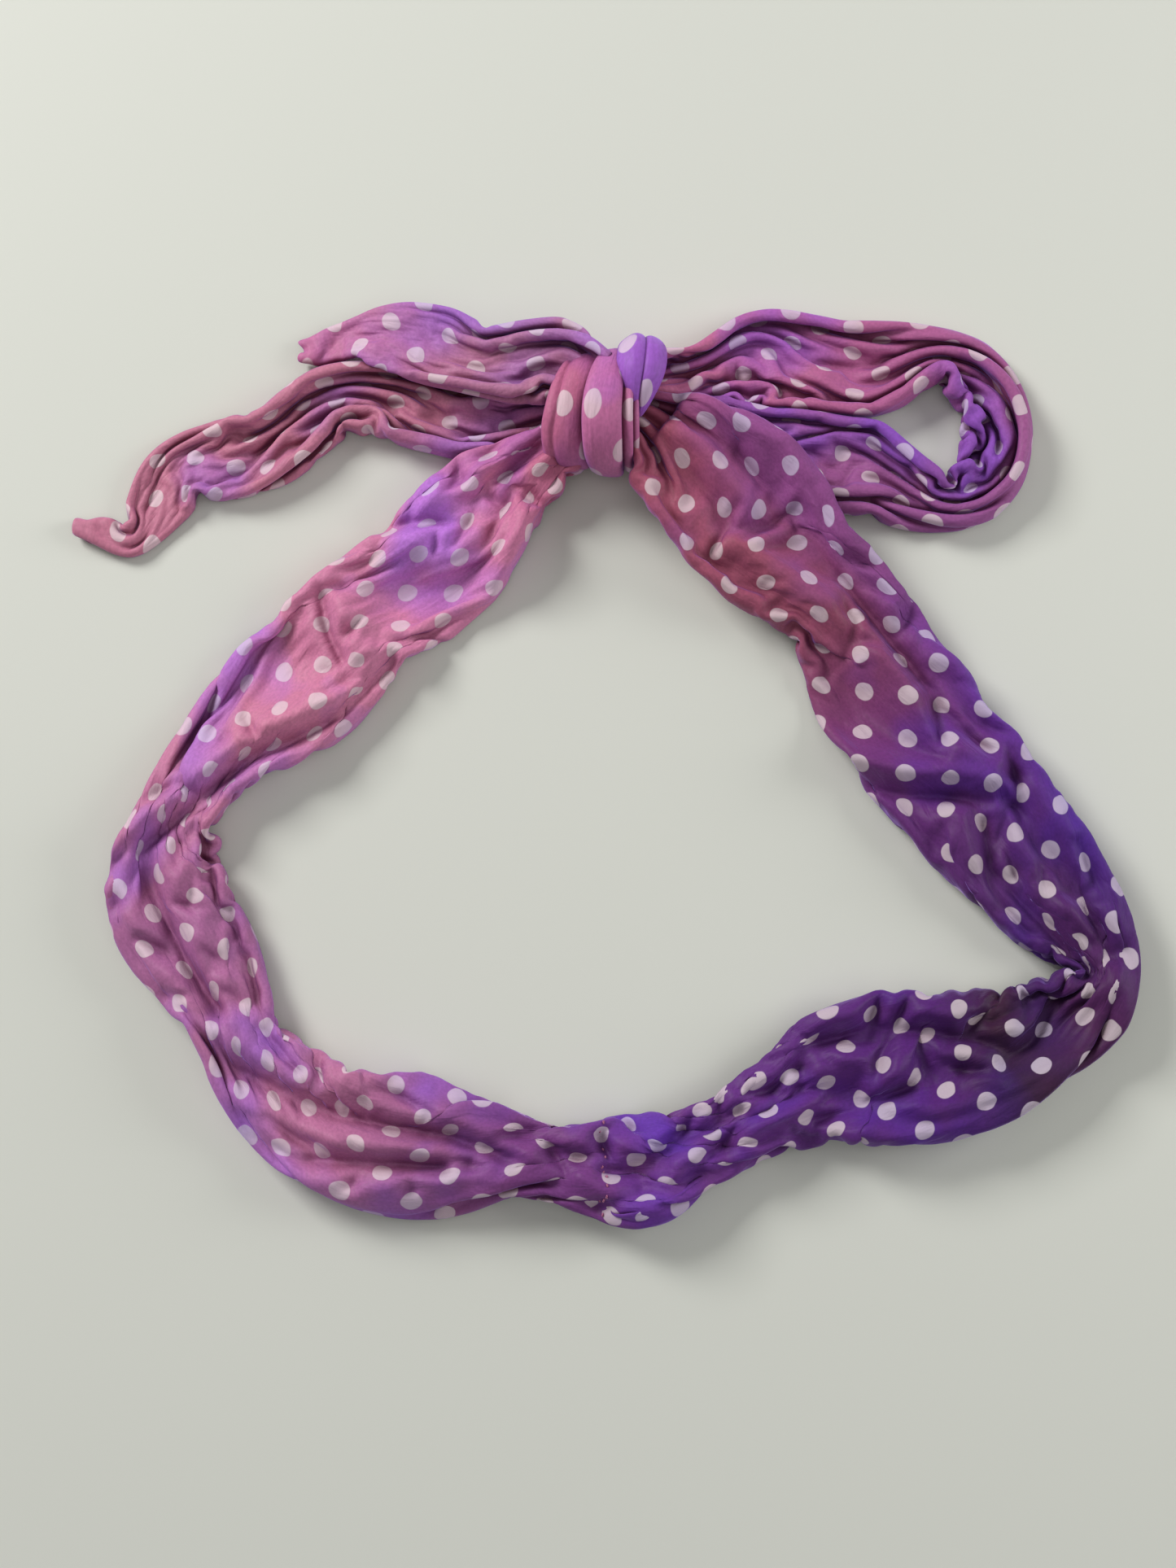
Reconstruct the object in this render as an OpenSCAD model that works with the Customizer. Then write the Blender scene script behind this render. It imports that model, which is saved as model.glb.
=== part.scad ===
// Knotted headband: one sewn strip of dotted cloth, tied in a half bow, lying on a table.
// The strip is built as the stretches between its bends, crossings and ties.

/* [Cloth] */
// Height of the bunched cloth where it lies on the table
band_h = 9; // [8:0.5:9.5]
// Height of the cloth where it twists into a rope
rope_h = 11; // [9:0.5:11.5]
// Height of a tail's thin pointed end
tip_h = 3; // [2:0.5:4]

/* [Knot] */
// Width of the turn of cloth that wraps the knot, along X
wrap_w = 13; // [11:0.5:13]
// Length of the wrapped turn, along Y
wrap_l = 30; // [29:0.5:31]
// Height of the whole knot
knot_h = 24; // [23.5:0.5:26]
// Thickness of the wrapped turn
wrap_t = 3; // [2:0.5:3]

/* [Seam] */
// Thickness of the sewing thread
thread_d = 0.5; // [0.3:0.1:0.6]
// Number of stitches that show across the joining seam
stitch_count = 9; // [5:2:11]

/* [Hidden] */

rose = [0.69, 0.36, 0.50];
thread_white = [0.93, 0.88, 0.90];
steps = 3;             // rings between two stations of a route
hinge_trim = 0.03;     // share of a segment left free where a stretch starts at a bend
thread_fn = 16;

// The knot's places along X, and the heights at which the strands reach it.
wrap_x = -3;
core_end_x = 12;
collar_w = 6;
collar_gap = 0.3;
left_x = wrap_x - collar_gap - collar_w;
knot_y = 77;
upper_z = 10;          // underside of the strands that come in over the others

// Where the band folds across its two arms, and where the bow's loop and the tails bend up.
fold_y = -10;
loop_bend_x = 50;
tail_long_bend_x = -67;
tail_short_bend_x = -22;

// A station is [x, y, underside z, half width, height, heading], with the heading in degrees
// from +X. The swept outline stands upright across the heading. At a fold or bend the heading
// is square to the line that the cloth bends on.
// The band, from the knot down the left arm, round the front and up the right arm.
ring = [
    [left_x, 66.5, 1, 5,   8,       180],
    [-20, 60,    0,  11,   band_h,  222],
    [-30, 50,    0,  13,   band_h,  222],
    [-46, 36,    0,  12,   band_h,  221],
    [-60, 19,    0,  15,   band_h,  224],
    [-77, 4,     0,  12,   band_h,  228],
    [-89, fold_y, 0, 8.5,  band_h,  270],
    [-94, -24,   0,  12,   band_h,  262],
    [-88, -39,   0,  12.5, band_h,  292],
    [-81, -52,   0,  8.5,  rope_h,  304],
    [-71, -67,   0,  12,   band_h,  312],
    [-56, -79,   0,  14,   band_h,  335],
    [-40, -83,   0,  15,   band_h,  355],
    [-26, -84,   0,  11,   band_h,  356],
    [-16, -85,   0,  7,    rope_h,  352],
    [-4,  -87,   0,  8.5,  rope_h,  352],
    [8,   -88,   0,  11.5, band_h,  370],
    [18,  -85,   0,  8.5,  rope_h,  390],
    [28,  -79,   0,  7,    rope_h,  392],
    [38,  -71,   0,  10,   band_h,  390],
    [52,  -66,   0,  15,   band_h,  368],
    [66,  -66,   0,  17,   band_h,  366],
    [82,  -64,   0,  13,   band_h,  376],
    [96,  -59,   0,  10,   rope_h,  392],
    [107, -48,   0,  7,    rope_h,  440],
    [103, -38,   0,  11,   band_h,  478],
    [91,  -24,   0,  15,   band_h,  478],
    [82, fold_y, 0,  19,   band_h,  450],
    [71,  5,     0,  19,   band_h,  474],
    [63,  20,    0,  15,   band_h,  478],
    [52,  35,    1,  13.5, band_h,  490],
    [40,  47,    6,  14,   band_h,  490],
    [29,  58,    9,  14.5, 8,       492],
    [20,  67,    upper_z, 13, 8,    500],
    [core_end_x, 71, upper_z, 9, 8, 540]
];
// The bow's loop, out along its upper leg, round the turn and back along its lower leg.
loop = [
    [core_end_x, 85, 1, 4.5, 8,     0],
    [24,  86.5,  0,  7,    band_h,  10],
    [36,  89.5,  0,  9,    band_h,  4],
    [loop_bend_x, 87.5, 0, 9.5, band_h, 0],
    [64,  86.5,  0,  8,    band_h,  0],
    [76,  88,    0,  6.5,  rope_h,  -12],
    [85,  82,    0,  8,    rope_h,  -62],
    [87,  72,    0,  7.5,  rope_h,  -92],
    [84,  60.5,  0,  7,    rope_h,  -128],
    [75,  57.5,  0,  5,    rope_h,  -180],
    [64,  65,    0,  6.5,  8,       -208],
    [loop_bend_x, 67.5, 0, 9, 7.5,  -180],
    [37,  71,    0,  7.5,  7.5,     -196],
    [24,  74,    0,  4.5,  7.5,     -190],
    [core_end_x, 76, 0, 3.5, 7.5,   -180]
];
// The long tail: from the knot to the left, with its pointed end turned back on itself.
tail_long = [
    [left_x, 76, 0,  3.5,  6.5,     180],
    [-22, 77.5,  0,  5,    6.5,     176],
    [-36, 77,    0,  7,    6.5,     172],
    [-50, 81,    0,  7.5,  6.5,     172],
    [tail_long_bend_x, 74, 0, 9.5, 8, 180],
    [-80, 68,    0,  8.5,  8,       200],
    [-91, 65.5,  0,  9,    8,       205],
    [-98.5, 57,  0,  7.5,  7,       245],
    [-101.5, 50, 0,  3.8,  5,       215],
    [-107, 50,   0,  2.5,  tip_h,   166],
    [-115, 53,   0,  1,    tip_h,   158]
];
// The short tail, which lies over the long one.
tail_short = [
    [left_x, 87, 9,  6.5,  8,       180],
    [tail_short_bend_x, 86, 8.5, 8.5, 8, 180],
    [-34, 89.5,  7.5, 9,   8,       165],
    [-47, 94,    6.8, 6.5, 5,       172],
    [-57, 94.5,  2,  4.5,  4,       186],
    [-66, 92.5,  0,  1,    tip_h,   194]
];

// Outline of bunched cloth on a table, in half widths across and heights up: a soft roll with
// a flat underside, running anticlockwise from its left foot.
roll_outline = [
    [-0.62, 0], [0.62, 0], [0.9, 0.08], [1, 0.36], [0.92, 0.7],
    [0.6, 0.94], [0, 1], [-0.6, 0.94], [-0.92, 0.7], [-1, 0.36], [-0.9, 0.08]
];

// A point of the Catmull-Rom curve between b and c.
function curve(a, b, c, d, t) =
    0.5 * (2 * b + (c - a) * t + (2 * a - 5 * b + 4 * c - d) * t * t
        + (3 * b - a - 3 * c + d) * t * t * t);

// The station at share t of the way from station i of a route to the next.
function between(route, i, t) =
    curve(route[max(i - 1, 0)], route[i], route[i + 1], route[min(i + 2, len(route) - 1)], t);

// The stations of a route from station a to station b, with those between filled in and
// shares of the first and last segments left free.
function filled(route, a, b, trim_a, trim_b) = concat(
    [between(route, a, trim_a)],
    [for (i = [a : b - 1]) for (k = [0 : steps - 1]) if (i > a || k > 0)
        between(route, i, k / steps)],
    [between(route, b - 1, 1 - trim_b)]
);

// The outline's points, standing upright at a station.
function outline_at(s) = [
    for (p = roll_outline)
        [s[0] + p[0] * s[3] * sin(s[5]), s[1] - p[0] * s[3] * cos(s[5]), s[2] + p[1] * s[4]]
];

// Two triangles for each side between ring r and the next, of rings with n points.
function side_faces(r, n) = [
    for (i = [0 : n - 1])
        let (a = r * n + i, b = r * n + (i + 1) % n)
            each [[a, a + n, b], [b, a + n, b + n]]
];

// A solid swept through a list of stations.
module sweep(stations) {
    n = len(roll_outline);
    last = len(stations) - 1;
    color(rose) polyhedron(
        points = [for (s = stations) each outline_at(s)],
        faces = concat(
            [[for (i = [0 : n - 1]) i]],
            [for (r = [0 : last - 1]) each side_faces(r, n)],
            [[for (i = [n - 1 : -1 : 0]) last * n + i]]
        )
    );
}

// One stretch of cloth along a route, from its station a to its station b.
module stretch(route, a, b, trim_a = 0, trim_b = 0) {
    sweep(filled(route, a, b, trim_a, trim_b));
}

// An oval of width w and height h standing on the X axis, squarer than an ellipse.
module oval(w, h) {
    sides = 24;
    squareness = 0.8;
    polygon([
        for (i = [0 : sides - 1])
            let (c = cos((i + 0.5) * 360 / sides), s = sin((i + 0.5) * 360 / sides))
                [w / 2 * sign(c) * pow(abs(c), squareness),
                 h / 2 * (1 + sign(s) * pow(abs(s), squareness))]
    ]);
}

// A solid of an oval's shape that runs across the knot from x, with its foot at z.
module barrel(x, w, y, z, l, h) {
    translate([x, y, z]) rotate([90, 0, 90]) linear_extrude(w) oval(l, h);
}

module knot_core() {
    fit = wrap_t + 0.3;
    color(rose) barrel(wrap_x, core_end_x - wrap_x, knot_y, fit,
        wrap_l - 2 * fit, knot_h - 2 * fit);
}

module knot_wrap() {
    color(rose) difference() {
        barrel(wrap_x, wrap_w, knot_y, 0, wrap_l, knot_h);
        barrel(wrap_x - 1, wrap_w + 2, knot_y, wrap_t, wrap_l - 2 * wrap_t, knot_h - 2 * wrap_t);
    }
}

// The lobe of the wrapped turn that stands out over the loop's upper leg.
module knot_tuck() {
    x = core_end_x + 3;
    z = upper_z + 1;
    sweep([
        [x, 84, z + 1, 1.8, 7,  90],
        [x, 87, z,     2.6, 10, 90],
        [x, 91, z,     2.6, 9,  90],
        [x, 94, z + 1, 1.6, 6,  90]
    ]);
}

// The first turn of cloth, beside the wrapped one.
module knot_collar() {
    collar_l = 30;
    collar_h = 19;
    color(rose) barrel(left_x, collar_w, knot_y + 0.5, 0, collar_l, collar_h);
}

module ring_left_root() { stretch(ring, 0, 1); }
module ring_left_arm() { stretch(ring, 1, 4); }
module ring_left_elbow() { stretch(ring, 4, 6); }
module ring_left_twist() { stretch(ring, 6, 9, trim_a = hinge_trim); }
module ring_front_left() { stretch(ring, 9, 13); }
module ring_front_neck() { stretch(ring, 13, 15); }
module ring_front_middle() { stretch(ring, 15, 17); }
module ring_front_waist() { stretch(ring, 17, 19); }
module ring_front_right() { stretch(ring, 19, 23); }
module ring_right_corner() { stretch(ring, 23, 25); }
module ring_right_forearm() { stretch(ring, 25, 27, trim_b = hinge_trim); }
module ring_right_arm() { stretch(ring, 27, 29); }
module ring_right_shoulder() { stretch(ring, 29, 32); }
module ring_right_root() { stretch(ring, 32, 34); }

module loop_upper_root() { stretch(loop, 0, 3); }
module loop_upper_leg() { stretch(loop, 3, 5, trim_a = hinge_trim); }
module loop_turn() { stretch(loop, 5, 9); }
module loop_lower_leg() { stretch(loop, 9, 11, trim_b = hinge_trim); }
module loop_lower_root() { stretch(loop, 11, 14); }

module tail_long_root() { stretch(tail_long, 0, 2); }
module tail_long_middle() { stretch(tail_long, 2, 4); }
module tail_long_blade() { stretch(tail_long, 4, 8, trim_a = hinge_trim); }
module tail_long_tip() { stretch(tail_long, 8, 10); }

module tail_short_root() { stretch(tail_short, 0, 1); }
module tail_short_blade() { stretch(tail_short, 1, 3, trim_a = hinge_trim); }
module tail_short_tip() { stretch(tail_short, 3, 5); }

// The stitches that show on the seam joining the strip's two halves, across the band's front.
module seam_front() {
    s = between(ring, 15, 0.3);
    reach = 0.55;      // half the row's length, in half widths of the cloth
    crown = 0.1;       // how far the cloth's top falls from its middle to there, of its height
    stitch_l = 1;
    for (i = [0 : stitch_count - 1]) {
        p = reach * (2 * i / (stitch_count - 1) - 1);
        top = s[2] + s[4] * (1 - crown * abs(p));
        color(thread_white)
            translate([s[0] + p * s[3] * sin(s[5]), s[1] - p * s[3] * cos(s[5]),
                       top + thread_d / 2 + 0.15])
                rotate([0, 90, s[5] - 90])
                    cylinder(h = stitch_l, d = thread_d, center = true, $fn = thread_fn);
    }
}

knot_core();
knot_wrap();
knot_tuck();
knot_collar();
ring_left_root();
ring_left_arm();
ring_left_elbow();
ring_left_twist();
ring_front_left();
ring_front_neck();
ring_front_middle();
ring_front_waist();
ring_front_right();
ring_right_corner();
ring_right_forearm();
ring_right_arm();
ring_right_shoulder();
ring_right_root();
loop_upper_root();
loop_upper_leg();
loop_turn();
loop_lower_leg();
loop_lower_root();
tail_long_root();
tail_long_middle();
tail_long_blade();
tail_long_tip();
tail_short_root();
tail_short_blade();
tail_short_tip();
seam_front();
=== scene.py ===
import math

import bpy
import numpy as np
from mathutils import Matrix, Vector


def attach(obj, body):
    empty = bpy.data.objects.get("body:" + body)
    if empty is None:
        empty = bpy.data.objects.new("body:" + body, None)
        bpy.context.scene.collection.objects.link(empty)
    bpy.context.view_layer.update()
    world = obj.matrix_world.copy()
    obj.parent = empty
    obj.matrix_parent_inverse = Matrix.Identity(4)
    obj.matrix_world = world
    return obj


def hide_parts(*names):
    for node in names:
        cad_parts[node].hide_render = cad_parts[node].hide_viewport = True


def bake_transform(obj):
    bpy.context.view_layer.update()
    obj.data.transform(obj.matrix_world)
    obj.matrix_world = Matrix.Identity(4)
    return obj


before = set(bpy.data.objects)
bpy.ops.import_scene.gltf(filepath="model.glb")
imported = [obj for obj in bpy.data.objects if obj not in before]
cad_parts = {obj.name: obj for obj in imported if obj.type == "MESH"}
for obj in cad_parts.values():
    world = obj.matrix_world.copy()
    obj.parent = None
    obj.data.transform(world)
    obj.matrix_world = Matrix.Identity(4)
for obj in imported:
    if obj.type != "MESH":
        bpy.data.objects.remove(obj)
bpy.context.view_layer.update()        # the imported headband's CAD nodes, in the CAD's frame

# ---------------------------------------------------------------------------
# The cloth strip. Routes are in millimetres, in the CAD's frame, and become metres in meshes.
# ---------------------------------------------------------------------------
MM = 0.001
STRIP_W = 72.0          # finished width of the flat strip, two layers thick
CELL = 1.25             # spacing of the cloth's grid
FINE_CELL = 0.8         # spacing of the grid of the turns over the knot
CLOTH_T = 0.6           # thickness of the two layers
GAP = 1.0               # closest that two points of different layers come
NEAR = 1.9              # how close two points are to be watched for the gap
PAIRS_EVERY = 5         # rounds between two searches for near points
DAMPING = 0.82          # share of its last step that a point takes again
MAX_STEP = 0.5          # longest such step
SPARE = 1.2             # how far the laid cloth may pass the sides of its glove
GUTTER_FREE = 12.0      # how far over the creases the cloth starts, before they draw it down

# A station is [x, y, underside z, half width, height, turn]. The turn, in degrees, says how far
# the strip's open edges have wandered round the roll from its underside.
RING = [
    [4, 73, 7, 4, 8, 0],
    [-9.3, 67, 2, 6, 9, 10],
    [-20, 60, 0, 11, 10, 20],
    [-30, 50, 0, 13.5, 10, 20],
    [-46, 36, 0, 13, 9.5, -10],
    [-60, 19, 0, 15.5, 9, -30],
    [-77, 4, 0, 12, 9, -10],
    [-89, -10, 0, 9, 9.5, 30],
    [-94, -24, 0, 12, 10, 60],
    [-88, -39, 0, 12.5, 9.5, 70],
    [-81, -52, 0, 9, 11, 60],
    [-71, -67, 0, 12, 10, 30],
    [-56, -79, 0, 14.5, 9.5, 0],
    [-40, -83, 0, 15.5, 9, -20],
    [-26, -84, 0, 11, 9.5, 0],
    [-16, -85, 0, 7.5, 10.5, 40],
    [-4, -87, 0, 9, 10.5, 80],
    [8, -88, 0, 12, 9.5, 60],
    [18, -85, 0, 9, 10.5, 20],
    [28, -79, 0, 7.5, 11, -30],
    [38, -71, 0, 10.5, 10, -50],
    [52, -66, 0, 15.5, 9, -20],
    [66, -66, 0, 17.5, 9, 0],
    [82, -64, 0, 13.5, 9.5, 20],
    [96, -59, 0, 10.5, 10, 40],
    [107, -48, 0, 7.5, 11, 60],
    [103, -38, 0, 11.5, 10, 40],
    [91, -24, 0, 15.5, 9.5, 10],
    [82, -10, 0, 19, 9, -10],
    [71, 5, 0, 19.5, 9, -10],
    [63, 20, 0, 15.5, 9, 20],
    [52, 35, 1, 14, 9.5, 40],
    [40, 47, 6, 14.5, 9.5, 50],
    [29, 58, 9, 15, 9, 50],
    [20, 67, 10, 13.5, 9, 40],
    [12, 73, 10, 8, 9, 20],
    [4, 75, 11, 4, 7, 0],
]
LOOP = [
    [4, 80, 6, 3.5, 7, 0],
    [12, 84.5, 2, 5, 9, 0],
    [24, 87.5, 0, 8, 10, 10],
    [36, 91, 0, 9.5, 10, 10],
    [50, 89, 0, 10, 9.5, 0],
    [64, 88, 0, 8.5, 9.5, -20],
    [77.5, 89.5, 0, 7, 11, 0],
    [87, 83.5, 0, 8.5, 11.5, 30],
    [89.5, 73, 0, 8, 11.5, 50],
    [86.5, 61, 0, 7.5, 11.5, 30],
    [76.5, 57, 0, 5.5, 11, 0],
    [64, 65, 0, 7, 9, -20],
    [50, 67.5, 0, 10, 8, 0],
    [37, 71, 0, 8.5, 8, 10],
    [24, 74, 0, 5.5, 8, 0],
    [12, 76, 2, 4, 7, 0],
    [4, 77, 5, 3, 6, 0],
]
TAIL_LONG = [
    [2, 77, 6, 3, 6, 0],
    [-9.3, 76, 1, 5, 7, 0],
    [-22, 77, 0, 7.5, 7, 10],
    [-36, 77.5, 0, 8.5, 7, 10],
    [-50, 81, 0, 8.5, 7.5, -10],
    [-67, 74, 0, 10, 8.5, -20],
    [-80, 68, 0, 9, 8.5, 0],
    [-91, 65.5, 0, 9.5, 8.5, 20],
    [-98.5, 57, 0, 8, 7.5, 30],
    [-101.5, 50, 0, 4.3, 5.5, 0],
    [-107, 50, 0, 3, 3.6, 0],
    [-115, 53, 0, 1.2, 2.6, 0],
]
TAIL_SHORT = [
    [2, 82, 13, 4, 7, 0],
    [-9.3, 87, 10, 7.5, 9, 0],
    [-22, 87, 8.5, 9, 8.5, 10],
    [-34, 90, 7.5, 9.5, 8, 10],
    [-47, 94, 6.8, 7, 6, 0],
    [-57, 94.5, 2, 5, 4.5, 0],
    [-66, 92.5, 0.3, 1.3, 3, 0],
]
# The turns of cloth over the knot: [x, y, z, half width, height].
KNOT_MIDDLE = np.array([0, 77, 11])
WRAP = [
    [4.5, 75, 1.0, 4, 3],
    [4.2, 69, 2.2, 4.8, 3.4],
    [4.0, 66.0, 7.5, 5.2, 4.0],
    [3.6, 66.6, 13.5, 5.8, 4.3],
    [3.2, 69.5, 17.6, 6.1, 4.6],
    [3.0, 74.5, 19.0, 6.0, 4.6],
    [3.6, 79.5, 18.0, 5.3, 4.4],
    [4.8, 83.6, 15.0, 4.6, 4.2],
    [5.4, 85.0, 10, 4.4, 4],
    [5.0, 82.5, 4, 4, 3.2],
    [4.6, 78, 1.2, 4, 2.8],
]
COLLAR = [
    [-2.6, 74, 1.0, 3.5, 2.6],
    [-4.2, 70, 2.0, 4.4, 3.2],
    [-5.4, 67.4, 6.5, 5.0, 3.6],
    [-6.2, 68.4, 11.8, 5.4, 4.0],
    [-6.4, 72, 14.6, 5.5, 4.2],
    [-5.0, 77, 15.4, 5.2, 4.0],
    [-3.0, 82, 14.0, 4.8, 3.8],
    [-1.6, 85, 10, 4.5, 3.4],
    [-1.6, 83.5, 5, 4, 3],
]
TUCK = [
    [8.4, 74.5, 14.5, 1.4, 3.2],
    [8.9, 77.5, 17.2, 3.4, 4.2],
    [9.5, 81.5, 18.6, 5.2, 4.9],
    [9.8, 85.0, 17.2, 5.3, 4.8],
    [9.6, 87.2, 13.0, 4.8, 4.4],
    [9.0, 86.2, 8.0, 4, 3.6],
    [8.0, 82, 4.5, 3, 3],
]
# How each turn is folded, seen along it: [sideways, outwards], for the middle of its route.
WRAP_FOLDS = [
    [-1.5, 0.5], [-5.6, 0.8], [-6.4, 1.9], [-5.9, 3.2], [-3.6, 4.4], [-0.6, 4.7], [1.9, 4.2],
    [2.4, 3.2], [0.9, 2.3], [1.2, 1.5], [3.1, 2.5], [4.5, 3.4], [5.0, 2.5], [3.9, 1.4],
    [4.4, 0.7], [5.9, 1.6], [6.4, 0.8], [3.6, 0.2],
]
COLLAR_FOLDS = [
    [-0.8, 0.4], [-4.6, 0.6], [-5.6, 1.6], [-5.1, 2.8], [-3.8, 3.3], [-3.2, 2.5], [-2.4, 3.3],
    [0.8, 4.1], [4.2, 3.3], [5.3, 1.9], [4.7, 0.7], [0.8, 0.4],
]
TUCK_FOLDS = [
    [-0.5, 0.3], [-4.2, 0.5], [-5.2, 1.8], [-4.4, 3.5], [-1.6, 5.1], [0.2, 4.7], [0.8, 3.7],
    [1.5, 4.6], [3.9, 3.5], [5.0, 1.8], [4.2, 0.5], [0.5, 0.3],
]
# Edges of the cloth as it lies, seen from above.
RING_EDGES = [
    [[-12, 71], [-20, 69.5], [-29, 67], [-40, 57], [-45.5, 50], [-57, 43], [-64, 36.5], [-70, 30],
     [-78, 24], [-87, 10], [-92, 0], [-97, -10], [-104, -18], [-107, -26], [-106, -35],
     [-98, -45], [-92, -52], [-86, -55], [-82, -63], [-81, -67], [-79, -75], [-73, -81],
     [-70, -87], [-60, -93], [-53, -96], [-36, -98], [-28, -95], [-20, -91], [-10, -93],
     [0, -98], [9, -100], [15, -98], [19, -93], [22, -90], [30, -87], [40, -82], [50, -81],
     [58, -84], [70, -82], [80, -80], [90, -75], [98, -69], [109, -64], [113, -58], [115, -50],
     [115, -40], [112, -30], [107, -20], [102, -10], [95, -2], [88, 8], [83, 14], [80, 20],
     [72, 29], [62, 41], [54, 50], [50, 57], [46, 64], [40, 70], [30, 76], [20, 78], [10, 79]],
    [[-7, 66], [-8, 60], [-13, 56], [-16, 47], [-20, 40], [-28, 31], [-34, 27], [-41, 24.5],
     [-44, 19], [-50, 11], [-55, 4.5], [-62, 1], [-70, -2], [-80, -9], [-84, -15], [-80, -27],
     [-75, -37], [-72, -47], [-70, -55], [-62, -62], [-50, -66.5], [-40, -67.5], [-30, -70],
     [-20, -76], [-10, -79.5], [0, -78], [5, -76.5], [15, -77.5], [22, -75], [30, -69],
     [36, -63], [44, -54], [50, -50], [60, -49], [70, -49.5], [84, -51], [94, -49], [102, -46],
     [97, -42.5], [90, -38.5], [84, -32], [74, -25], [69, -17], [62, -9], [50, -1], [47.5, 3],
     [47, 18], [44, 27], [38, 31], [30, 34.5], [20, 43], [14, 52], [8, 60], [7, 66]],
]
LOOP_EDGES = [
    [[8, 90], [15, 91], [22, 91], [27, 95], [32, 100.5], [38, 101.5], [45, 100.5], [55, 97],
     [65, 97], [75, 97], [85, 97], [91, 92], [96, 83], [98, 72], [96, 60], [89, 52], [81, 49],
     [74, 51], [68, 54], [60, 56], [50, 56], [40, 60], [25, 68], [12, 73]],
    [[8, 79], [30, 80], [48, 78], [59, 77], [68, 80], [72, 84], [77, 84.5], [81, 79], [82, 72],
     [80.5, 65], [77, 61.5], [74, 64], [68, 69], [61, 75], [48, 77], [30, 79]],
]
TAIL_LONG_EDGES = [
    [[-8, 84], [-30, 86], [-52, 89], [-60, 88], [-68, 83], [-73, 77], [-82, 76], [-90, 74],
     [-99, 72], [-102, 65], [-103, 60], [-102, 54], [-108, 53], [-115, 55]],
    [[-8, 69], [-25, 68], [-30, 68.5], [-40, 71], [-50, 74], [-54, 75], [-60, 70], [-68, 63],
     [-77, 59], [-88, 59], [-92, 54], [-97, 48], [-102, 45], [-108, 47], [-115, 53]],
]
TAIL_SHORT_EDGES = [
    [[0, 92], [-7, 95.5], [-15, 95], [-25, 93], [-27, 99], [-32, 99.5], [-42, 101], [-50, 100.5],
     [-60, 97], [-66, 92.5]],
    [[0, 76], [-12, 78], [-25, 80], [-40, 84], [-55, 89.5], [-60, 90], [-66, 91.5]],
]
# Crests and creases of the ring's upper side: lines of [x, y, height over the table].
CRESTS = [
    [[-12, 69, 13], [-24, 64, 12], [-34, 58, 11], [-44, 50, 9]],
    [[-10, 67, 14], [-18, 62, 13], [-23, 57, 10]],
    [[-14, 59, 11], [-17, 50, 11], [-20, 42, 9]],
    [[-46, 49, 11], [-36, 48.5, 12], [-28, 50, 11]],
    [[-57.5, 37, 11], [-56, 30, 13], [-52, 24, 13], [-44, 24, 10]],
    [[-57, 42, 8], [-63, 38, 9], [-68, 32, 7]],
    [[-47, 22, 10], [-56, 13, 11], [-62, 8.5, 12], [-74, 4, 12], [-84, -6, 13], [-98, -16, 13],
     [-105, -24, 10]],
    [[-60, 3, 7], [-70, -1, 8], [-80, -8, 9], [-86, -14, 9]],
    [[-91, -17, 11], [-88, -28, 11], [-82, -42, 11], [-76, -56, 10]],
    [[-103, -27, 10], [-96, -38, 11], [-86, -50, 12], [-70, -61, 11]],
    [[-84, -56, 10], [-66, -65, 12], [-46, -71, 12], [-30, -77, 12], [-16, -83, 12]],
    [[-80, -69, 9], [-64, -80, 11], [-46, -82, 12], [-30, -84, 11], [-18, -86, 11]],
    [[-68, -88, 8], [-50, -90, 11], [-34, -89, 11], [-22, -88, 10]],
    [[-18, -84, 12], [-8, -84, 12], [0, -81, 12], [8, -79.5, 12], [20, -79, 12], [32, -72, 12],
     [40, -66, 11]],
    [[-4, -88, 11], [4, -93, 11], [10, -95, 11], [15, -92, 11], [17, -86, 12], [22, -84, 12],
     [34, -78, 11], [44, -74, 10]],
    [[3, -78, 12], [1, -84, 12], [-3, -91, 9]],
    [[40, -62, 9], [48, -56, 12], [60, -53, 12], [72, -54.5, 12], [86, -57, 10]],
    [[46, -66, 11], [56, -62, 13], [61, -65, 14], [62, -71, 13], [69, -75, 12], [78, -73, 11],
     [88, -70, 10], [98, -65, 9]],
    [[44, -75, 9], [54, -79, 11], [64, -80, 11], [80, -77, 10], [92, -70, 9]],
    [[74, -62, 12], [80, -67, 12], [86, -71, 10]],
    [[12, 76, 17], [22, 75, 18], [32, 71, 18], [40, 67, 17], [46, 60, 15], [50, 55, 14],
     [55, 45, 13], [60, 38, 12], [66, 30, 12], [71, 22, 11]],
    [[72, 22, 10], [79, 19, 11], [84, 10, 10], [90, 3, 10], [96, -5, 10], [103, -15, 10],
     [108, -26, 10], [111, -38, 10]],
    [[14, 71, 17], [22, 67, 17], [27, 61, 16], [33, 55, 14]],
    [[30, 46, 13], [40, 40, 12], [47, 35, 12], [54, 31, 13], [60, 26, 13], [66, 18, 13],
     [72, 9, 14], [78, 2, 14], [84, -1, 13], [90, -4, 12]],
    [[50, 2, 8], [58, -2, 12], [68, -4, 12], [78, -4, 13], [85, -5, 13]],
    [[86, -7, 12], [88, -18, 12], [92, -26, 13], [100, -34, 13], [106, -42, 13], [109, -50, 12],
     [111, -58, 9]],
    [[72, -14, 9], [77, -12, 11], [78, -19, 11], [80, -27, 9]],
    [[93, -6, 11], [98, -14, 12], [105, -24, 11], [109, -34, 11]],
]
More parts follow.
